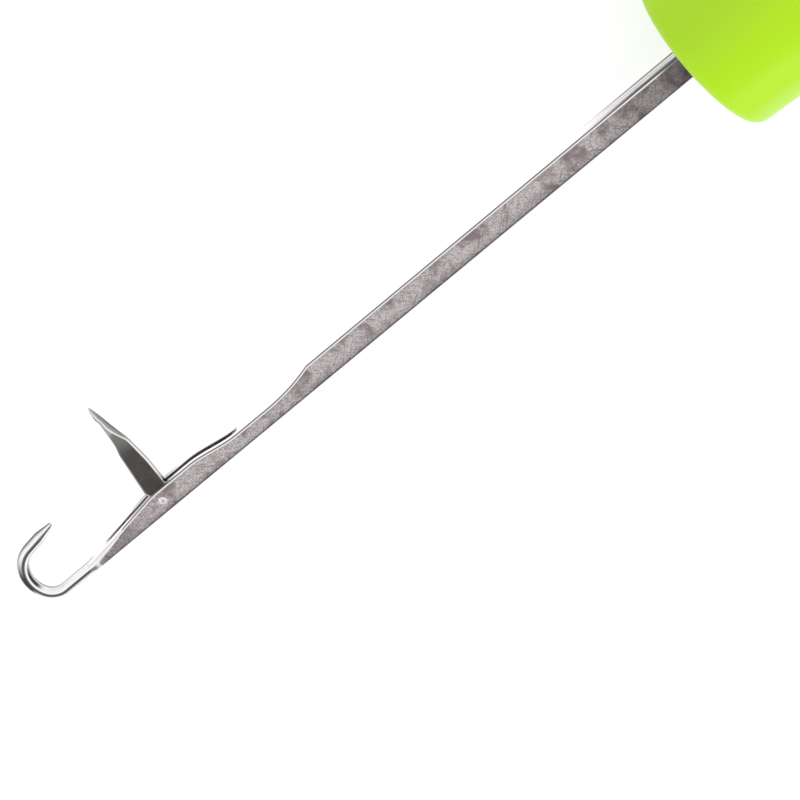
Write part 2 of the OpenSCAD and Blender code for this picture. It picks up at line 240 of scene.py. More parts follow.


# Half of the needle's section at each x, as (y, z): along the slot's floor, up its wall, over the
# cheek's rounded edges, down the flat side and along the underside. The narrow face on the
# throat's side is drawn bright. Painted shade fills the slot, painted dark reflection lines run
# along the edges, and a painted shadow darkens the end at the handle.
def needleHalf(x):
    n, w = needle, needleShadeAndWear
    stations, x = x.size, x[:, None]
    topEdge, bottomEdge = n["topEdge"], n["bottomEdge"]
    half, side, slot = n["stemHeight"] / 2, n["stemThickness"] / 2, n["slotWidth"] / 2
    top, bottom = needleTop(x), needleBottom(x)
    depth = np.maximum(top - slotFloor(x), 0)
    lip = np.minimum(n["slotEdge"], depth / 2)
    # painted shadow of the handle where the needle enters it, and painted shade along the stem near
    # it
    handleShadow, stem = w["handleShadow"] * fadeOut(x, *w["handleShadowEnd"]), fadeOut(x, *w["stemShadeEnd"])
    # the flat sides: painted shade towards the cheek's front and near the handle
    flat = w["paintedShade"] * (w["front"] * fadeIn(x, *w["frontShadeStart"]) + w["stem"] * stem)
    flat = np.maximum(flat, handleShadow)
    # painted shade on the top face round the latch's foot
    footShade = w["footShade"] * fadeOut(np.abs(x - w["footShadeMiddle"]), *w["footShadeEnd"])
    # painted shade in the slot, darker where it is deeper, and a polished rim
    slotShade = w["slot"] * np.clip(depth / w["slotShadeFull"], 0, 1)
    bright = 1 - np.clip(depth / w["rimDepth"], 0, 1)
    # where the points stand: shares of each straight run, and angles round each edge
    across, up = np.array([0.1, 0.5, 0.8, 1]), np.array([0.35, 0.7, 1])
    down = np.array([0.03, 0.1, 0.2, 0.3, 0.4, 0.5, 0.6, 0.7, 0.8, 0.9, 0.97, 1.0])
    under, inwards = np.array([0.1, 0.5, 0.9, 1]), np.array([0.9, 0.6, 0.3, 0])
    turn, lipTurn = unit(np.array([14, 28, 42, 56, 70, 80, 90])), unit(np.array([30, 60, 90]))
    # lists of polish and of painted shade go point by point, and set the bright lines and the
    # painted dark reflection lines of the edges
    return layOut([
        (top - depth, slot * np.array([0, 0.5, 1]), bright, np.maximum(slotShade, w["stemTopShade"] * stem)),
        (top - depth + (depth - lip) * up, slot, bright, slotShade * [1, 0.8, 0.5]),
        (top - lip + lip * lipTurn[:, 1], slot + lip - lip * lipTurn[:, 0], 1, slotShade * [0.3, 0, 0]),
        # the top face, with painted shadow and painted shade near the handle and by the latch's foot
        (top, slot + lip + (side - topEdge - slot - lip) * across, 1,
         np.maximum(np.maximum(handleShadow, footShade), stem * [0.5, 0.8, 0.9, 0.9])),
        # the top edge: a painted dark reflection line just past its bright line
        (top - topEdge + topEdge * turn[:, 0], side - topEdge + topEdge * turn[:, 1],
         [1, 1, 1, 1, 1, 1, 0.5],
         np.maximum(
             np.maximum(handleShadow, stem * [0.9, 0, 0, 0, 0, 0, 0]), [0.1, 0.9, 1, 0.3, 0, 0, 0],
         )),
        # the flat side: painted shade at its top and more towards its bottom edge
        (top - topEdge - (top + half - topEdge - bottomEdge) * down, side, 0,
         np.maximum(flat, [0.1, 0.05, 0, 0, 0, 0, 0, 0.08, 0.16, 0.25, 0.45, 1])),
        # the bottom edge: a painted dark reflection line
        (bottomEdge - half - bottomEdge * turn[:, 1], side - bottomEdge + bottomEdge * turn[:, 0],
         [0.5, 1, 1, 1, 1, 1, 1], [0.6, 0.7, 0.7, 0.6, 0.4, 0.2, 0]),
        ((bottom + half) * under - half, (side - bottomEdge) * inwards,
         w["underPolish"], np.maximum(w["under"], handleShadow)),
    ], stations)


# Draws the section in to a flare about the wire's own line, and at the flare's end to the round
# wire itself. What is drawn in is as bright as the wire, and the flat sides end in a point.
def flare(half, polish, shadeAndDirt, x):
    n, w = needle, needleShadeAndWear
    x = x[:, None]
    middle = np.array([-n["legDrop"], 0])
    offset = half - middle
    reach = np.linalg.norm(offset, axis=-1)
    cone = smoothRun(x, n["flareAt"], n["flareRadius"], n["flareRound"])
    drawn = np.where(cone > reach + n["flareReach"], reach, softMin(reach, cone, n["flareEdge"]))
    rounding = fadeIn(x, n["wireFrom"], n["wireOver"])
    drawn += (n["wireRadius"] - drawn) * rounding
    rubbed = np.clip((reach - drawn) / w["rubDepth"] - 1, 0, 1)
    rubbed = np.maximum(rubbed, rounding)
    shadeAndDirt = shadeAndDirt * (1 - np.maximum(rounding, w["rubbedOff"] * rubbed))
    return middle + offset * (drawn / reach)[..., None], np.maximum(polish, rubbed), shadeAndDirt


# The needle is one sweep: the section is carried along the straight, round the two bends of the
# hook and along the free leg, where the wire tapers to a round tip
def makeNeedle():
    n, w = needle, needleShadeAndWear
    noseEnd, bendEnd = n["noseTurn"] - 90, 90 - n["tipRise"]
    drop = n["noseRadius"] - n["bendRadius"]
    bendX = n["hookReach"] - n["wireRadius"] - n["bendRadius"]
    noseY = n["noseRadius"] - n["legDrop"]
    bend = np.array([bendX, noseY + drop * np.sin(np.radians(noseEnd))])
    nose = np.array([bendX - drop * np.cos(np.radians(noseEnd)), noseY])
    free = bend + n["bendRadius"] * unit(bendEnd)
    freeWay = unit(bendEnd + 90)
    freeLength = (n["tipReach"] + n["tipRadius"] - free[0]) / freeWay[0]

    straight = np.concatenate([
        [n["tangEnd"]] * 2, *(np.linspace(*run) for run in n["ringRuns"]),
        np.linspace(n["ringRuns"][-1][1] + 0.2, nose[0], 10),
    ])
    rings, polish, shadeAndDirt = (wholeRing(part) for part in flare(*needleHalf(straight), straight))
    middle = np.array([-n["legDrop"], 0])
    rings[0] = rings[0].mean(0)
    around = rings[-1] - middle
    around /= np.linalg.norm(around, axis=-1)[:, None]

    noseTurns = np.linspace(-90, noseEnd, 24)[1:]
    bendTurns = np.linspace(noseEnd, bendEnd, 40)[1:]
    run = np.linspace(0, freeLength - n["tipTaper"], 12)[1:]
    taper = np.linspace(freeLength - n["tipTaper"], freeLength, 12)[1:]
    end = np.linspace(0, np.pi / 2, 9)[1:]
    freeTurns = np.full(run.size + taper.size + end.size, bendEnd)
    lengths = np.concatenate([run, taper, freeLength + n["tipRadius"] * np.sin(end)])
    centres = np.concatenate([
        np.stack([straight, 0 * straight - n["legDrop"]], -1),
        nose + n["noseRadius"] * unit(noseTurns),
        bend + n["bendRadius"] * unit(bendTurns),
        free + lengths[:, None] * freeWay,
    ])
    inwardWay = np.concatenate([
        np.tile([0.0, 1.0], (straight.size, 1)),
        -unit(np.concatenate([noseTurns, bendTurns, freeTurns])),
    ])
    radii = np.concatenate([
        np.full(noseTurns.size + bendTurns.size + run.size, n["wireRadius"]),
        np.linspace(n["wireRadius"], n["tipRadius"], taper.size + 1)[1:],
        n["tipRadius"] * np.cos(end),
    ])
    offsets = np.concatenate([rings - middle, radii[:, None, None] * around])
    flatPlace = centres[:, None] + offsets[..., :1] * inwardWay[:, None]
    points = np.concatenate([flatPlace, offsets[..., 1:]], -1)
    # Painted dark reflection lines run along the wire's inner and outer side and its two faces, with
    # a painted dark band over its outside; in the bend a further painted dark line runs round the
    # wire, and painted shade covers it from its faces outwards
    inwards, sideways = around[:, 0], np.abs(around[:, 1])
    paintedShade = np.max([
        w["paintedShade"] * fadeOut(sideways, *w["edgeEnd"]),
        w["face"] * fadeOut(np.abs(inwards + w["faceShift"]), *w["faceEnd"]),
        w["outside"] * (inwards < 0) * fadeOut(sideways, *w["outsideEnd"]),
    ], 0)
    onWire = fadeIn(straight[:, None], *w["wireStart"])
    turns = np.concatenate([noseTurns * 0 + noseEnd, bendTurns, freeTurns])[:, None]
    bendDarkLines = w["bend"] * fadeIn(turns, noseEnd, w["bendOver"]) * fadeOut(turns, *w["bendEnd"])
    angle = np.degrees(np.arctan2(sideways, inwards))
    line = fadeOut(np.abs(angle - w["bendLine"]), *w["lineEnd"])
    bendDarkLines = bendDarkLines * (line + fadeIn(angle, *w["backStart"]))
    shadeAndDirt = np.concatenate([np.maximum(shadeAndDirt, paintedShade * onWire), np.maximum(paintedShade, bendDarkLines)])
    polish = np.concatenate([polish, np.ones((radii.size, polish.shape[1]))])
    return ringMesh("needle_body", fromRivet(points), {"polish": polish, "shadeAndDirt": shadeAndDirt})


latch = {
    "lean": 8, "thickness": 0.65, "width": 2.5, "eyeRadius": 0.85, "shoulder": 1.35,
    "length": 11.83, "spoonLength": 4.65, "spoonWidth": 1.25, "spoonFlare": 1.1, "spoonTip": 1.9,
    "frontDraw": 0.62, "frontRound": 0.25, "backDraw": 0.1, "backCrown": 0.07, "backSmooth": 0.7,
    "bendBack": 0.28, "edgeRadius": 0.06, "endThickness": 0.12,
    "cupRim": 0.1, "cupLip": 0.28, "cupWall": 0.2, "tipDraw": 0.06,
    "widenFrom": 7.05, "widenLength": 1.6, "widenRound": 0.25,
    # the slanting edge on the spoon's back: where it leaves the side, how round the back is, the
    # angle at which its ellipse starts, and how far the side leans in
    "slantFrom": 6.35, "backRound": 0.07, "spoonRound": 0.4, "roundOver": 3, "roundMost": 0.6,
    "backStart": 35, "spoonLean": 0.14, "leanOver": 2.2,
    # painted shade on the spoon's back, and its rubbed side
    "spoonBackShade": 0.5, "backShadeOver": 2, "tipBackShade": 0.4,
    "spoonRub": 0.3, "rubFrom": (5.35, 2.5),
}


# The latch along its own length, from the eye to the pointed spoon. Each section runs from the
# middle of the cup's floor over the rim and the side to the middle of the back. The cup is half
# an ellipse. The back is the end of an ellipse that meets the side at an edge, so the edge runs
# along the back of the blade and then slants over the spoon to its tip.
def makeLatch():
    s = latch
    neck, eye, half = s["length"] - s["spoonLength"], s["eyeRadius"], s["width"] / 2
    # where the sections stand: round the eye, along the blade, along the spoon and at its tip
    at = np.concatenate([
        -eye * np.cos(np.linspace(0, np.pi / 2, 16)), np.linspace(0.1, neck - 0.6, 50),
        np.linspace(neck - 0.5, s["length"] - 0.5, 90),
        np.linspace(s["length"] - 0.48, s["length"], 16),
    ])
    flared = neck + 1.5 * s["spoonFlare"]
    bladeEnd = neck - s["spoonFlare"]
    tipStart = s["length"] - s["spoonTip"]
    bladeFront = -half + s["frontDraw"]
    spoonFront = swell(bladeFront, -s["cupRim"], (at - bladeEnd) / (flared - bladeEnd))
    front = smoothRun(
        at, [0, s["shoulder"], bladeEnd], [-eye, -half, bladeFront], s["frontRound"],
    )
    front = np.where(at > bladeEnd, spoonFront, front)
    halfTip = s["spoonTip"] / 2
    front -= ease(0, s["cupLip"] - s["cupRim"], (at - tipStart) / halfTip)
    front += ease(0, s["tipDraw"], (at - tipStart - halfTip) / halfTip)
    back = smoothRun(
        at, [0, s["shoulder"], (neck + s["shoulder"]) / 2, neck, s["length"]],
        [eye, half, half + s["backCrown"], half - s["backDraw"], -s["cupRim"]], s["backSmooth"],
    )
    eyeEnd = np.sqrt(np.maximum(eye**2 - np.minimum(at, 0) ** 2, 0))
    front, back = np.where(at < 0, -eyeEnd, front), np.where(at < 0, eyeEnd, back)

    wide = s["spoonWidth"] / 2
    widened = s["widenFrom"] + s["widenLength"]
    width = smoothRun(
        at, [s["widenFrom"], widened], [s["thickness"] / 2, wide], s["widenRound"],
    )
    closing = np.sqrt(1 - np.clip((at - tipStart) / s["spoonTip"], 0, 1) ** 2)
    width = np.maximum(width * closing, s["endThickness"] / 2)
    cupStart, cupEnd = neck + s["spoonFlare"] / 2, s["length"] - s["cupWall"]
    cup = ease(0, 1, (at - cupStart) / s["spoonFlare"]) * np.maximum(width - s["cupWall"], 0)
    cup *= np.sqrt(1 - np.clip((at - tipStart) / (cupEnd - tipStart), 0, 1) ** 2)
    depth = np.maximum(back - s["cupWall"] - front, 0) * np.sqrt(cup / (wide - s["cupWall"]))
    edge = np.minimum(np.minimum(s["edgeRadius"], (back - front) / 5), (width - cup) / 2)
    slant = at - s["slantFrom"]
    rounded = ease(s["backRound"], s["spoonRound"], slant / s["roundOver"])
    rounded = np.minimum(rounded, s["roundMost"] * (back - front))
    backWidth = width - ease(0, s["spoonLean"], slant / s["leanOver"]) * width / wide
    # painted shade on the spoon's back, past the slant and less towards the tip
    paintedShade = s["spoonBackShade"] * ease(0, 1, slant / s["backShadeOver"])
    paintedShade = (paintedShade * ease(1, s["tipBackShade"], (at - tipStart) / s["spoonTip"]))[:, None]
    rubbed = (s["spoonRub"] * fadeIn(at, *s["rubFrom"]))[:, None]
    bend = ease(0, s["bendBack"], (at - neck) / s["spoonLength"])
    front, back = front + bend, back + bend

    front, back, width, backWidth, cup, depth, rounded, edge = (
        v[:, None] for v in (front, back, width, backWidth, cup, depth, rounded, edge)
    )
    dip = unit(np.linspace(90, 0, 10))
    turn = unit(np.array([22, 45, 67, 90]))
    start = unit(s["backStart"])
    climb = unit(np.linspace(s["backStart"], 90, 16)[1:])
    climb[-1] = 0, 1
    count = len(climb)
    inner = width - edge - cup
    line = back - rounded
    rim, side = np.array([0.1, 0.5, 0.9, 1]), np.array([0.08, 0.5, 0.92])
    rings, polish, shadeAndDirt = (wholeRing(part) for part in layOut([
        (front + depth * dip[:, 1], cup * dip[:, 0], 0, 0),
        (front, cup + inner * rim, 1, 0),
        (front + edge - edge * turn[:, 0], width - edge + edge * turn[:, 1], 1, 0),
        (front + edge + (line - front - edge) * side, width + (backWidth - width) * side,
         rubbed, 0),
        (line, backWidth, 1, 0),
        (back + rounded * (climb[:, 1] - 1) / (1 - start[1]), backWidth * climb[:, 0] / start[0],
         np.linspace(1, 0, count), paintedShade * np.minimum(np.arange(count) / 2, 1)),
    ], at.size))
    # one more ring, drawn to a point, closes the tip
    point = np.broadcast_to(rings[-1:].mean(1, keepdims=True), rings[-1:].shape)
    rings, at = np.concatenate([rings, point]), np.append(at, at[-1])
    polish, shadeAndDirt = (np.concatenate([values, values[-1:]]) for values in (polish, shadeAndDirt))
    along, across = unit(90 + s["lean"]), unit(180 + s["lean"])
    flatPlace = at[:, None, None] * along + rings[..., :1] * across
    points = np.concatenate([flatPlace, rings[..., 1:]], -1)
    return ringMesh("latch_blade", fromRivet(points), {"polish": polish, "shadeAndDirt": shadeAndDirt})


rivet = {
    "radius": 0.4, "ring": 0.3, "ringHeight": 0.07, "skirt": 0.45, "skirtDepth": 0.05,
    "hiddenDepth": 0.05, "dimplePolish": 0.2, "dimpleRings": 9, "grooveShade": 0.7, "grooveRings": 2,
}


# The rivet: a profile turned about the hinge, with a peened ring round a dimple at each end
def makeRivet():
    r = rivet
    face = needle["stemThickness"] / 2
    t = np.linspace(0, 1, 12)
    dome = r["ringHeight"] * np.sin(np.pi / 2 * t) ** 4
    fall = np.linspace(0, 1, 8)[1:]
    skirt = r["ring"] + (r["skirt"] - r["ring"]) * fall
    radius = np.concatenate([r["ring"] * t, skirt, [r["radius"]]])
    height = np.concatenate([
        face + dome, face + r["ringHeight"] - (r["ringHeight"] + r["skirtDepth"]) * fall**2,
        [face - r["skirtDepth"] - r["hiddenDepth"]],
    ])
    radius, height = np.concatenate([radius, radius[::-1]]), np.concatenate([height, -height[::-1]])
    flatPlace = radius[:, None, None] * circle(64)
    across = np.broadcast_to(height[:, None, None], (*flatPlace.shape[:2], 1))
    # the dimple at each end is duller than the ring, and the groove round the skirt is painted in
    # shade
    polish, shadeAndDirt = np.ones(flatPlace.shape[:2]), np.zeros(flatPlace.shape[:2])
    dimple, groove, middle = r["dimpleRings"], r["grooveRings"], radius.size // 2
    polish[:dimple] = polish[-dimple:] = r["dimplePolish"]
    shadeAndDirt[middle - groove : middle + groove] = r["grooveShade"]
    points = fromRivet(np.concatenate([flatPlace, across], -1))
    return ringMesh("rivet_peened", points, {"polish": polish, "shadeAndDirt": shadeAndDirt})


handle = {
    "length": 80.5, "gripRadius": 9.7, "flatHeight": 9.2, "flatEdge": 0.3, "flatAbove": 6,
    "frontRadius": 8.65, "frontSwell": 32.0, "frontEdge": 1.2, "faceRings": (7.3, 5.5, 3.6),
    "buttRadius": 8.2, "buttSwell": 20.0, "buttEdge": 1.6, "buttRing": 6.6,
    "coreRadius": 6.2, "coreEdge": 0.25, "coreDepth": 6.5, "coreCorner": 0.2,
    "socketGap": 0.05, "socketEdge": 0.3, "socketDepth": 42.1, "socketRing": 1,
}


# Turns (place along X, radius) about the tool's axis: y = radius cos t and z = radius sin t
def turned(profile, around):
    along, radius = np.asarray(profile, float).T
    across = radius[:, None, None] * circle(around)
    along = np.broadcast_to(along[:, None, None], (*across.shape[:2], 1))
    return np.concatenate([along, across], -1)


# The handle is turned from the bottom of the core's mouth, over the butt and the grip to the front
# face, and there the rings become the rectangle of the socket. A flat above and below cuts z off.
def makeHandle():
    h, around = handle, 192
    shoulder = h["length"] - h["frontEdge"]
    core, butt, corner = h["coreRadius"], h["buttRadius"], h["coreCorner"]
    buttRun, frontRun = np.linspace(0, 1, 26)[1:], np.linspace(0, 1, 40)[:-1]
    profile = np.concatenate([
        [[h["coreDepth"], 0], [h["coreDepth"], core - corner], [h["coreDepth"], core],
         [h["coreDepth"] - corner, core]],
        arcPoints([h["coreEdge"], core + h["coreEdge"]], h["coreEdge"], 270, 180, 6),
        [[0, h["buttRing"]]],
        arcPoints([h["buttEdge"], butt - h["buttEdge"]], h["buttEdge"], 180, 90, 14),
        np.stack([
            h["buttEdge"] + (h["buttSwell"] - h["buttEdge"]) * buttRun,
            swell(butt, h["gripRadius"], buttRun),
        ], -1),
        np.stack([
            shoulder - (h["frontSwell"] - h["frontEdge"]) * (1 - frontRun),
            swell(h["frontRadius"], h["gripRadius"], 1 - frontRun),
        ], -1),
        arcPoints([shoulder, h["frontRadius"] - h["frontEdge"]], h["frontEdge"], 90, 0, 14),
        [[h["length"], radius] for radius in h["faceRings"]],
    ])
    rings = turned(profile, around)
    height = np.abs(rings[..., 2])
    rings[..., 2] = np.sign(rings[..., 2]) * np.where(
        height > h["flatAbove"], softMin(height, h["flatHeight"], h["flatEdge"]), height,
    )
    ring = circle(around)
    halfSize = np.array([needle["stemHeight"], needle["stemThickness"]]) / 2 + h["socketGap"]
    # the socket's rings, as place along X and how far each is wider than the socket itself
    hole = [(h["length"] - h["socketEdge"] * (1 - np.cos(t)), h["socketEdge"] * (1 - np.sin(t)))
            for t in np.linspace(0, np.pi / 2, 6)]
    hole += [(h["length"] - h["socketRing"], 0), (h["length"] - h["socketDepth"], 0)]
    holeRings = []
    for along, grow in hole:
        reach = np.min((halfSize + grow) / np.maximum(np.abs(ring), 1e-6), -1, keepdims=True)
        holeRings.append(np.concatenate([np.full((around, 1), along), reach * ring], -1))
    last = np.tile([h["length"] - h["socketDepth"], 0, 0], (1, around, 1))
    return ringMesh("handle_shell", np.concatenate([rings, holeRings, last]) * mm)


plug = {
    "radius": 6.15, "bevel": 0.4, "depth": 6.0, "gateRadius": 1.5, "gateDepth": 0.3,
    "faceRings": (2.5, 4.0, 5.4), "sideRing": 0.6, "backEdge": 0.1,
}


# The end plug: a disc with a rounded edge, and the shallow dimple of its gate in the middle
def makePlug():
    p = plug
    t = np.linspace(0, 1, 14)
    radius, depth, edge = p["radius"], p["depth"], p["backEdge"]
    profile = np.concatenate([
        np.stack([ease(p["gateDepth"], 0, t), p["gateRadius"] * t], -1),
        [[0, ring] for ring in p["faceRings"]],
        arcPoints([p["bevel"], radius - p["bevel"]], p["bevel"], 180, 90, 8),
        [[p["sideRing"], radius], [depth - edge, radius], [depth, radius - edge], [depth, 0]],
    ])
    return ringMesh("end_plug_face", turned(profile, 128) * mm)


pieces = {
    "needle_body": (makeNeedle(), "tool", "needle", "needle_steel"),
    "latch_blade": (makeLatch(), "latch", "latch", "latch_steel"),
    "rivet_peened": (makeRivet(), "tool", "latch_rivet", "rivet_steel"),
    "handle_shell": (makeHandle(), "tool", "handle", "handle_plastic"),
    "end_plug_face": (makePlug(), "tool", "end_plug", "plug_plastic"),
}
for piece, body, node, slotName in pieces.values():
    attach(piece, body)
    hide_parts(node)
print("pieces made:", {name: len(piece.data.polygons) for name, (piece, *_) in pieces.items()})


# sRGB hex to linear colour
def linear(text):
    value = np.array([int(text[i : i + 2], 16) for i in (1, 3, 5)]) / 255
    return (*np.where(value <= 0.04045, value / 12.92, ((value + 0.055) / 1.055) ** 2.4), 1)


# Adds one node with its settings. An input is given by name or number, as a value or as a socket
# to link.
def addNode(tree, kind, inputs=(), **settings):
    node = tree.nodes.new(kind)
    for name, value in settings.items():
        setattr(node, name, value)
    for name, value in dict(inputs).items():
        if isinstance(value, bpy.types.NodeSocket):
            tree.links.new(value, node.inputs[name])
        else:
            node.inputs[name].default_value = value
    return node


# A new material, with its node tree and its shader
def newMaterial(name):
    material = bpy.data.materials.new(name)
    material.use_nodes = True
    return material, material.node_tree, material.node_tree.nodes["Principled BSDF"]


# Noise scale for features of a real size, on Object coordinates in metres
def perMetre(size):
    return 1 / (size * mm)


# Nickel plate on drawn and pressed steel: a soft grey mirror with a mauve cast, blotched where the
# plating took unevenly, frosted by fine specks and crossed hairlines, bright on its rubbed edges
# and dark where painted shade, painted shadow and painted dark reflection lines are laid on
def nickelPlate(name, look):
    material, tree, shader = newMaterial(name)
    place = addNode(tree, "ShaderNodeTexCoord").outputs["Object"]
    blotch = addNode(tree, "ShaderNodeTexNoise", {
        "Vector": place, "Scale": perMetre(look["blotchSize"]),
        "Detail": 5, "Roughness": 0.6, "Distortion": 0.5,
    }).outputs[0]
    blotch = addNode(tree, "ShaderNodeMapRange", {
        "Value": blotch, "From Min": look["blotchRange"][0], "From Max": look["blotchRange"][1],
    }).outputs[0]
    speck = addNode(tree, "ShaderNodeTexNoise", {
        "Vector": place, "Scale": perMetre(look["speckSize"]), "Detail": 2, "Roughness": 0.6,
    }).outputs[0]
    speck = addNode(tree, "ShaderNodeMapRange", {
        "Value": speck, "From Min": look["speckRange"][0], "From Max": look["speckRange"][1],
    }).outputs[0]
    # two sets of hairlines cross each other, at the same angle on either side of the needle's line
    hatch = []
    for angle in (look["hatchAngle"], -look["hatchAngle"]):
        turned = addNode(tree, "ShaderNodeMapping", {
            "Vector": place, "Rotation": (0, 0, np.radians(angle)),
        }).outputs[0]
        drawn = addNode(tree, "ShaderNodeMapping", {
            "Vector": turned, "Scale": (look["hatchWidth"] / look["hatchLength"], 1, 1),
        }).outputs[0]
        lines = addNode(tree, "ShaderNodeTexNoise", {
            "Vector": drawn, "Scale": perMetre(look["hatchWidth"]), "Detail": 2, "Roughness": 0.5,
        }).outputs[0]
        hatch.append(addNode(tree, "ShaderNodeMapRange", {
            "Value": lines, "From Min": look["hatchRange"][0], "From Max": look["hatchRange"][1],
        }).outputs[0])
    hatch = addNode(tree, "ShaderNodeMath", dict(enumerate(hatch)), operation="MAXIMUM").outputs[0]
    fine = addNode(tree, "ShaderNodeMapRange", {
        "Value": speck, "To Min": look["speckDepth"], "To Max": 1,
    }).outputs[0]
    patch = addNode(tree, "ShaderNodeMath", {0: blotch, 1: fine}, operation="MULTIPLY").outputs[0]
    scored = addNode(tree, "ShaderNodeMath", {
        0: hatch, 1: look["hatchShade"],
    }, operation="MULTIPLY").outputs[0]
    polish = addNode(tree, "ShaderNodeAttribute", attribute_name="polish").outputs["Fac"]
    shadeAndDirt = addNode(tree, "ShaderNodeAttribute", attribute_name="shadeAndDirt").outputs["Fac"]
    # the plate's colour, then the hairlines, the rubbed edges and the painted shade over it
    colour = linear(look["dark"])
    for share, over in ((patch, "light"), (scored, "dark"), (polish, "edge"), (shadeAndDirt, "shadeAndDirt")):
        colour = addNode(tree, "ShaderNodeMix", {
            0: share, 6: colour, 7: linear(look[over]),
        }, data_type="RGBA").outputs[2]
    rough = addNode(tree, "ShaderNodeMapRange", {
        "Value": blotch, "To Min": look["roughness"][1], "To Max": look["roughness"][0],
    }).outputs[0]
    rough = addNode(tree, "ShaderNodeMix", {
        0: polish, 2: rough, 3: look["edgeRoughness"],
    }).outputs[0]
    relief = addNode(tree, "ShaderNodeMath", {0: patch, 1: hatch}, operation="SUBTRACT").outputs[0]
    coarse = addNode(tree, "ShaderNodeMapRange", {
        "Value": polish, "To Min": look["bump"], "To Max": 0,
    }).outputs[0]
    bump = addNode(tree, "ShaderNodeBump", {
        "Height": relief, "Strength": coarse, "Distance": look["bumpDepth"] * mm,
    }).outputs[0]
    shader.inputs["Metallic"].default_value = 1
    tree.links.new(colour, shader.inputs["Base Color"])
    tree.links.new(rough, shader.inputs["Roughness"])
    tree.links.new(bump, shader.inputs["Normal"])
    return material


# Sizes are in millimetres. Real specks and hairlines are finer than the render can show, and are
# drawn as coarse as it needs. A range is the part of the noise that fades from none to full.
# the darkest colour here paints shade, shadow and dark reflection lines onto the plate
needleSteel = {
    "dark": "#9E9194", "light": "#FFF7F6", "edge": "#FCFAF9", "shadeAndDirt": "#241C1F",
    "blotchSize": 1.9, "blotchRange": (0.36, 0.52),
    "speckSize": 0.15, "speckRange": (0.36, 0.6), "speckDepth": 0.25,
    "hatchAngle": 38, "hatchWidth": 0.12, "hatchLength": 1.5, "hatchRange": (0.54, 0.66),
    "hatchShade": 0.7, "roughness": (0.3, 0.42), "edgeRoughness": 0.07,
    "bump": 1, "bumpDepth": 0.012,
}
# the latch's plate is a darker copy of the needle's, which paints shade onto the latch
latchSteelShaded = dict(
    needleSteel, dark="#605F5A", light="#77746E", speckDepth=0.8, bumpDepth=0.001,
    roughness=(0.14, 0.22),
)
rivetSteel = dict(needleSteel, dark="#B5A9A8", blotchSize=0.6, bumpDepth=0.004)

greenPlastic = {
    "deep": "#A6DA00", "pale": "#B2E200", "cloudSize": 22, "roughness": 0.38, "ior": 1.49,
    "peelSize": 1.6, "peelDepth": 0.012, "peel": 0.4,
}
plugPlastic = dict(greenPlastic, deep="#93CB02", pale="#9DD20A")


# Injection-moulded polypropylene in lime green: an even, slightly waxy gloss with a faint orange
# peel from the mould, so highlights are broad and soft-edged
def mouldedPlastic(name, look):
    material, tree, shader = newMaterial(name)
    place = addNode(tree, "ShaderNodeTexCoord").outputs["Object"]
    cloud = addNode(tree, "ShaderNodeTexNoise", {
        "Vector": place, "Scale": perMetre(look["cloudSize"]), "Detail": 2,
    }).outputs[0]
    colour = addNode(tree, "ShaderNodeMix", {
        0: cloud, 6: linear(look["deep"]), 7: linear(look["pale"]),
    }, data_type="RGBA").outputs[2]
    peel = addNode(tree, "ShaderNodeTexNoise", {
        "Vector": place, "Scale": perMetre(look["peelSize"]), "Detail": 1,
    }).outputs[0]
    bump = addNode(tree, "ShaderNodeBump", {
        "Height": peel, "Strength": look["peel"], "Distance": look["peelDepth"] * mm,
    }).outputs[0]
    tree.links.new(colour, shader.inputs["Base Color"])
    tree.links.new(bump, shader.inputs["Normal"])
    shader.inputs["Roughness"].default_value = look["roughness"]
    shader.inputs["IOR"].default_value = look["ior"]
    return material


finishes = {
    "needle_body": nickelPlate("nickelPlatedSteelNeedle", needleSteel),
    "latch_blade": nickelPlate("nickelPlatedSteelLatchShaded", latchSteelShaded),
    "rivet_peened": nickelPlate("peenedSteelRivet", rivetSteel),
    "handle_shell": mouldedPlastic("limePolypropylene", greenPlastic),
    "end_plug_face": mouldedPlastic("limePolypropylenePlug", plugPlastic),
}
for name, material in finishes.items():
    pieces[name][0].data.materials.append(material)
print("materials made:", len(finishes))


studio = {
    "floorSide": 900, "floorDrop": handle["flatHeight"], "floorColour": "#ECEAF1", "floorGlow": 0.2,
    "keyFrom": (-0.33, -0.12, 0.94), "keySize": 240, "keyPower": 0.1,
    "fillFrom": (0.3, 0.8, 0.5), "fillSize": 320, "fillPower": 1.5,
    # lamps stand this far from a place on the needle, which is so far behind the rivet
    "lampDistance": 600, "aimBehind": 30,
    # light of the surroundings towards and away from this side
    "lightFrom": (0.5, 0.86, 0), "wallLight": (1.12, 0.86),
    # a dark strip low down on that side: its light, the slopes over which it ends, and how far
    # round it reaches
    "stripLight": 0.08, "stripRise": (0.08, 0.24), "stripSide": (0.1, 0.5),
    # a grey screen: its direction, and the angles from it at which it begins and is full
    "screenFrom": (0.34, 0.42, 0.84), "screenAngles": (30, 15), "screenLight": 0.47,
}


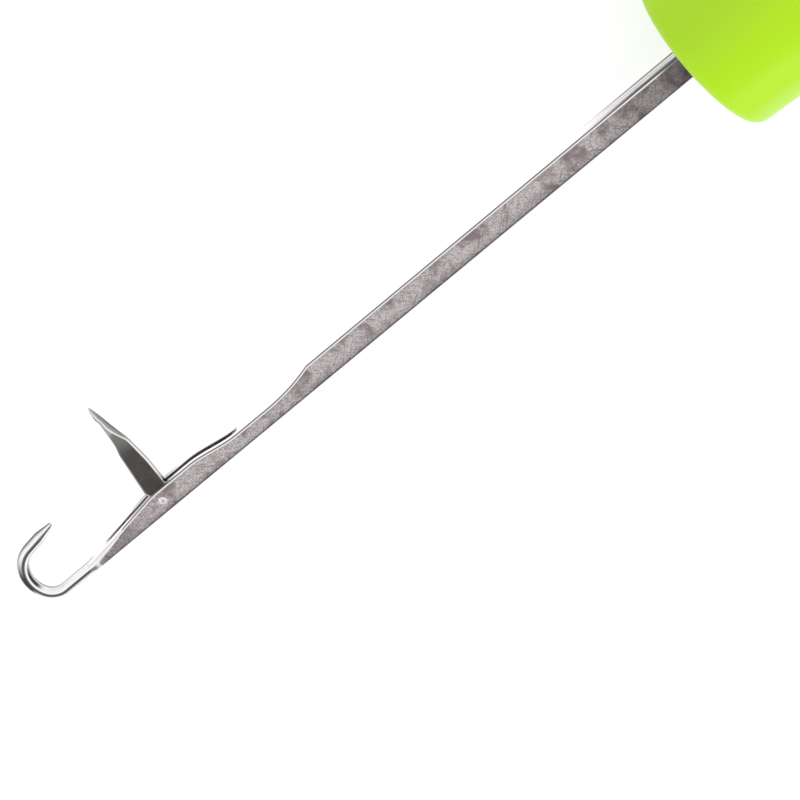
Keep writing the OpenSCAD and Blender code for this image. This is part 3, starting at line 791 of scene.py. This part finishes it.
# A sheet of pale card under the tool. It shades as card does, and shows the eye, and what mirrors
# it, a little more light, so that it reads white and keeps the tool's shadow.
def makeFloor():
    half = studio["floorSide"] / 2
    centre = (cadBounds[0] + cadBounds[1]) / 2 / mm
    square = ((-half, -half), (half, -half), (half, half), (-half, half))
    corners = [(centre.x + x, centre.y + y, -studio["floorDrop"]) for x, y in square]
    mesh = bpy.data.meshes.new("floor")
    mesh.from_pydata([Vector(corner) * mm for corner in corners], [], [(0, 1, 2, 3)])
    floor = bpy.data.objects.new("floor", mesh)
    bpy.context.scene.collection.objects.link(floor)
    material, tree, shader = newMaterial("paleCard")
    rays = addNode(tree, "ShaderNodeLightPath").outputs
    seen = rays["Is Camera Ray"]
    for ray in ("Is Glossy Ray", "Is Transmission Ray"):
        seen = addNode(tree, "ShaderNodeMath", {
            0: seen, 1: rays[ray],
        }, operation="MAXIMUM").outputs[0]
    glow = addNode(tree, "ShaderNodeMath", {
        0: seen, 1: studio["floorGlow"],
    }, operation="MULTIPLY").outputs[0]
    shader.inputs["Base Color"].default_value = linear(studio["floorColour"])
    shader.inputs["Roughness"].default_value = 1
    shader.inputs["Specular IOR Level"].default_value = 0
    shader.inputs["Emission Color"].default_value = (1, 1, 1, 1)
    tree.links.new(glow, shader.inputs["Emission Strength"])
    mesh.materials.append(material)


# The surroundings: white to the camera, and to everything else a pale room, lighter on one
# side, with a dark strip low down there and a grey screen where the flat sides mirror it
def makeWorld():
    world = bpy.data.worlds.new("paleRoom")
    world.use_nodes = True
    bpy.context.scene.world = world
    tree = world.node_tree
    direction = addNode(tree, "ShaderNodeTexCoord").outputs["Generated"]
    across = addNode(tree, "ShaderNodeVectorMath", {
        0: direction, 1: Vector(studio["lightFrom"]),
    }, operation="DOT_PRODUCT").outputs["Value"]
    walls = addNode(tree, "ShaderNodeMapRange", {
        "Value": across, "From Min": -1, "From Max": 1,
        "To Min": studio["wallLight"][1], "To Max": studio["wallLight"][0],
    }).outputs[0]
    rise = addNode(tree, "ShaderNodeSeparateXYZ", {0: direction}).outputs["Z"]
    low = addNode(tree, "ShaderNodeMapRange", {
        "Value": rise, "From Min": studio["stripRise"][0], "From Max": studio["stripRise"][1],
        "To Min": 1, "To Max": 0,
    }).outputs[0]
    there = addNode(tree, "ShaderNodeMapRange", {
        "Value": across, "From Min": studio["stripSide"][0], "From Max": studio["stripSide"][1],
    }).outputs[0]
    strip = addNode(tree, "ShaderNodeMath", {0: low, 1: there}, operation="MULTIPLY").outputs[0]
    walls = addNode(tree, "ShaderNodeMix", {0: strip, 2: walls, 3: studio["stripLight"]}).outputs[0]
    nearness = addNode(tree, "ShaderNodeVectorMath", {
        0: direction, 1: Vector(studio["screenFrom"]).normalized(),
    }, operation="DOT_PRODUCT").outputs["Value"]
    outer, inner = np.cos(np.radians(studio["screenAngles"]))
    screen = addNode(tree, "ShaderNodeMapRange", {
        "Value": nearness, "From Min": outer, "From Max": inner, "To Min": 0, "To Max": 1,
    }, interpolation_type="SMOOTHSTEP").outputs[0]
    light = addNode(tree, "ShaderNodeMix", {
        0: screen, 2: walls, 3: studio["screenLight"],
    }).outputs[0]
    toEye = addNode(tree, "ShaderNodeLightPath").outputs["Is Camera Ray"]
    light = addNode(tree, "ShaderNodeMix", {0: toEye, 2: light, 3: 1}).outputs[0]
    tree.links.new(light, tree.nodes["Background"].inputs["Strength"])
    tree.nodes["Background"].inputs["Color"].default_value = (1, 1, 1, 1)


# A round lamp that lights what scatters light, while no surface mirrors it
def makeLamp(name):
    centre = Vector(rivetPlace) * mm - Vector((studio["aimBehind"] * mm, 0, 0))
    towards = Vector(studio[name + "From"]).normalized()
    lamp = bpy.data.lights.new(name, "AREA")
    lamp.shape, lamp.size, lamp.energy = "DISK", studio[name + "Size"] * mm, studio[name + "Power"]
    holder = bpy.data.objects.new(name, lamp)
    holder.location = centre + towards * studio["lampDistance"] * mm
    holder.rotation_euler = towards.to_track_quat("Z", "Y").to_euler()
    holder.visible_glossy = False
    bpy.context.scene.collection.objects.link(holder)


camera = {
    "towards": (-0.34, -0.38, 0.86), "roll": 0.3346, "needleRise": 39.6,
    "focalPixels": 3800, "pixelsPerMillimetre": 10.5, "frameSide": 800,
    "rivetPixel": (162.8, 501.0), "sensor": 36,
    "clip": (0.01, 10),  # in metres
}


# The camera looks along the photo's line of sight. The needle's own direction rises by needleRise
# in the picture, and the rivet's end lies on its pixel.
def makeCamera():
    c = camera
    back = np.array(c["towards"]) / np.linalg.norm(c["towards"])
    toHandle = np.array([-1.0, 0, 0])
    along = toHandle - back * (toHandle @ back)
    along /= np.linalg.norm(along)
    above = np.cross(back, along)
    roll, rise = np.radians(c["roll"]), np.radians(c["needleRise"])
    along, above = (
        np.cos(roll) * along + np.sin(roll) * above, np.cos(roll) * above - np.sin(roll) * along,
    )
    right = np.cos(rise) * along - np.sin(rise) * above
    up = np.sin(rise) * along + np.cos(rise) * above
    rivetEnd = rivetPlace + np.array([0, 0, needle["stemThickness"] / 2])
    middle = c["frameSide"] / 2
    pixelX, pixelY = c["rivetPixel"]
    toMiddle = np.array([middle - pixelX, pixelY - middle, c["focalPixels"]])
    toMiddle /= c["pixelsPerMillimetre"]
    place = rivetEnd + right * toMiddle[0] + up * toMiddle[1] + back * toMiddle[2]
    data = bpy.data.cameras.new("photoCamera")
    data.sensor_width = c["sensor"]
    data.lens = c["focalPixels"] / c["frameSide"] * c["sensor"]
    data.clip_start, data.clip_end = c["clip"]
    holder = bpy.data.objects.new("photoCamera", data)
    turn = Matrix(np.stack([right, up, back], -1).tolist()).to_4x4()
    holder.matrix_world = Matrix.Translation(Vector(place) * mm) @ turn
    bpy.context.scene.collection.objects.link(holder)
    bpy.context.scene.camera = holder


makeFloor()
makeWorld()
makeLamp("key")
makeLamp("fill")
makeCamera()
bpy.context.scene.view_settings.view_transform = "Standard"
print("studio made")
